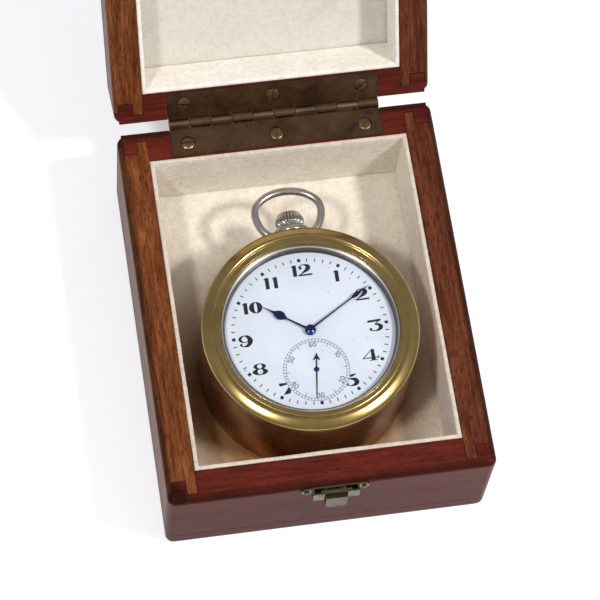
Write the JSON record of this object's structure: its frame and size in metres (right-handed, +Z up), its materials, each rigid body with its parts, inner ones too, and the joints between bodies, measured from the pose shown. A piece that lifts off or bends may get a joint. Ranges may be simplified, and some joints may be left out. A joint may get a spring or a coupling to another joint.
{
  "type": "deck watch",
  "caption": "Boxed deck watch: an open-faced keyless watch held level in a round brass holder, in a felt-lined hardwood box with a hinged lid and a push-button latch",
  "frame": {"origin": "centre of the box's flat underside", "axes": "+X to the right across the box, +Y from the latch to the hinge, +Z up from the underside"},
  "size_m": [0.1, 0.2142, 0.1451],
  "materials": {
    "mahogany_end": "dark red-brown mahogany, polished",
    "mahogany_side": "orange-brown mahogany, polished",
    "felt": "cream wool felt, lightly soiled",
    "hinge_brass": "dark patinated brass",
    "latch_brass": "pale green-grey aged brass",
    "holder_brass": "olive-gold aged brass, polished",
    "case_silver": "polished silver",
    "watch_glass": "clear",
    "dial_enamel": "glossy white enamel",
    "blued_steel": "polished and blued",
    "gilt_brass": "matt gilt",
    "steel": "bright"
  },
  "bodies": {
    "box": {"box_front_wall": "mahogany_end", "box_back_wall": "mahogany_end", "box_left_wall": "mahogany_side", "box_right_wall": "mahogany_side", "box_bottom_board": "mahogany_end", "box_wall_lining": "felt", "box_floor_board": "felt", "hinge_box_leaf": "hinge_brass", "hinge_pin": "hinge_brass", "hinge_screw_box_left": "hinge_brass", "hinge_screw_box_middle": "hinge_brass", "hinge_screw_box_right": "hinge_brass", "latch_housing": "latch_brass", "latch_spring": "steel", "latch_pin_left": "latch_brass", "latch_pin_right": "latch_brass", "holder_drum": "holder_brass", "holder_screw_left": "steel", "holder_screw_right": "steel"},
    "lid": {"lid_front_wall": "mahogany_end", "lid_back_wall": "mahogany_end", "lid_left_wall": "mahogany_side", "lid_right_wall": "mahogany_side", "lid_top_board": "mahogany_end", "lid_lining": "felt", "hinge_lid_leaf": "hinge_brass", "lid_strike": "latch_brass", "hinge_screw_lid_left": "hinge_brass", "hinge_screw_lid_middle": "hinge_brass", "hinge_screw_lid_right": "hinge_brass"},
    "latch_push": {"latch_button": "latch_brass"},
    "watch": {"case_band": "case_silver", "case_back": "case_silver", "bezel": "case_silver", "crystal": "watch_glass", "dial": "dial_enamel", "main_plate": "gilt_brass", "barrel_bridge": "gilt_brass", "train_bridge": "gilt_brass", "balance_cock": "gilt_brass", "balance_spring": "blued_steel"},
    "ring": {"holder_ring": "holder_brass"},
    "bow_loop": {"bow": "case_silver"},
    "winding": {"winding_pinion": "steel"},
    "crown_and_stem": {"crown": "case_silver", "winding_stem": "steel"},
    "crown_wheel_body": {"crown_wheel": "steel"},
    "ratchet_body": {"ratchet_wheel": "steel"},
    "fourth": {"fourth_wheel": "gilt_brass", "seconds_hand": "blued_steel"},
    "centre": {"centre_wheel": "gilt_brass", "minute_hand": "blued_steel"},
    "hour": {"hour_wheel": "gilt_brass", "hour_hand": "blued_steel"},
    "minute": {"minute_wheel": "gilt_brass"},
    "third": {"third_wheel": "gilt_brass"},
    "escape": {"escape_wheel": "steel"},
    "barrel": {"mainspring_barrel": "gilt_brass"},
    "pallets": {"pallet_fork": "steel"},
    "balance": {"balance_wheel": "gilt_brass"}
  },
  "joints": [
    {"name": "lid_hinge", "type": "hinge", "parent": "box", "child": "lid", "pos_m": [0, 0.06315, 0.0375], "axis": [-1, 0, 0], "range_deg": [-123, 0]},
    {"name": "latch_press", "type": "slide", "parent": "box", "child": "latch_push", "axis": [0, 1, 0], "range_m": [0, 0.0006], "stiffness_N_per_m": 1500},
    {"name": "watch_lift", "type": "slide", "parent": "box", "child": "watch", "axis": [0, 0, 1], "range_m": [0, 0.04]},
    {"name": "ring_lift", "type": "slide", "parent": "watch", "child": "ring", "axis": [0, 0, 1], "range_m": [0, 0.02]},
    {"name": "bow_swing", "type": "hinge", "parent": "watch", "child": "bow_loop", "pos_m": [-0.0003, 0.0224, 0.036], "axis": [1, 0, 0], "range_deg": [-90, 90]},
    {"name": "crown_turn", "type": "hinge", "parent": "watch", "child": "winding", "pos_m": [-0.0003, 0.00399, 0.036], "axis": [0, 1, 0], "continuous": true},
    {"name": "crown_pull", "type": "slide", "parent": "winding", "child": "crown_and_stem", "axis": [0, 1, 0], "range_m": [0, 0.001]},
    {"name": "crown_wheel_turn", "type": "hinge", "parent": "watch", "child": "crown_wheel_body", "pos_m": [-0.0003, 0.0005, 0.037], "axis": [0, 0, 1], "continuous": true},
    {"name": "ratchet_turn", "type": "hinge", "parent": "watch", "child": "ratchet_body", "pos_m": [-0.0076, -0.0061, 0.037], "axis": [0, 0, 1], "continuous": true},
    {"name": "fourth_turn", "type": "hinge", "parent": "watch", "child": "fourth", "pos_m": [-0.0003, -0.0261, 0.037], "axis": [0, 0, 1], "continuous": true},
    {"name": "centre_turn", "type": "hinge", "parent": "watch", "child": "centre", "pos_m": [-0.0003, -0.0134, 0.037], "axis": [0, 0, 1], "continuous": true},
    {"name": "hour_turn", "type": "hinge", "parent": "watch", "child": "hour", "pos_m": [-0.0003, -0.0134, 0.037], "axis": [0, 0, 1], "continuous": true},
    {"name": "minute_wheel_turn", "type": "hinge", "parent": "watch", "child": "minute", "pos_m": [0.0025, -0.00855, 0.037], "axis": [0, 0, 1], "continuous": true},
    {"name": "third_turn", "type": "hinge", "parent": "watch", "child": "third", "pos_m": [0.00283, -0.02035, 0.037], "axis": [0, 0, 1], "continuous": true},
    {"name": "escape_turn", "type": "hinge", "parent": "watch", "child": "escape", "pos_m": [-0.00566, -0.02805, 0.037], "axis": [0, 0, 1], "continuous": true},
    {"name": "barrel_turn", "type": "hinge", "parent": "watch", "child": "barrel", "pos_m": [-0.0076, -0.0061, 0.037], "axis": [0, 0, 1], "continuous": true},
    {"name": "pallet_rock", "type": "hinge", "parent": "watch", "child": "pallets", "pos_m": [-0.00948, -0.02562, 0.037], "axis": [0, 0, 1], "range_deg": [-5, 5]},
    {"name": "balance_swing", "type": "hinge", "parent": "watch", "child": "balance", "pos_m": [-0.01379, -0.02287, 0.037], "axis": [0, 0, 1], "range_deg": [-270, 270], "stiffness_Nm_per_rad": 0.0000064}
  ],
  "couplings": [
    {"joint": "crown_wheel_turn", "follows": "crown_turn", "ratio": 0.58333},
    {"joint": "ratchet_turn", "follows": "crown_turn", "ratio": -0.46667},
    {"joint": "centre_turn", "follows": "fourth_turn", "ratio": 0.016667},
    {"joint": "hour_turn", "follows": "fourth_turn", "ratio": 0.0013889},
    {"joint": "minute_wheel_turn", "follows": "fourth_turn", "ratio": -0.0055556},
    {"joint": "third_turn", "follows": "fourth_turn", "ratio": -0.13333},
    {"joint": "escape_turn", "follows": "fourth_turn", "ratio": -10},
    {"joint": "barrel_turn", "follows": "fourth_turn", "ratio": -0.0021368}
  ]
}
